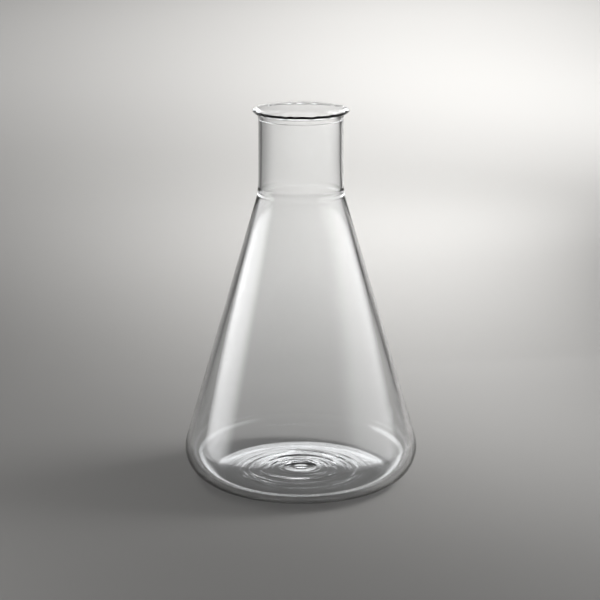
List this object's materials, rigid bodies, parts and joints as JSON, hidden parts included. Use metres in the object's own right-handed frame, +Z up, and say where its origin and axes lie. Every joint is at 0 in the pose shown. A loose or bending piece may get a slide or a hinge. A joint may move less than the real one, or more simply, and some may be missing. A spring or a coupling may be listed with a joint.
{
  "type": "erlenmeyer flask",
  "caption": "Conical laboratory flask of clear glass with a straight neck, a flared fire-polished rim, a rounded heel and a flat base with a slightly pushed-up middle.",
  "frame": {"origin": "centre of the foot ring, on the plane that the flask stands on", "axes": "+Z up along the flask's axis, out of the mouth; X and Y are free, because the flask is round"},
  "size_m": [0.08, 0.08, 0.1285],
  "materials": {
    "clear_glass": "clear, colourless, fire-polished"
  },
  "bodies": {
    "root": {"rim": "clear_glass", "neck": "clear_glass", "neck_seam": "clear_glass", "cone": "clear_glass", "heel": "clear_glass", "base": "clear_glass"}
  },
  "joints": []
}
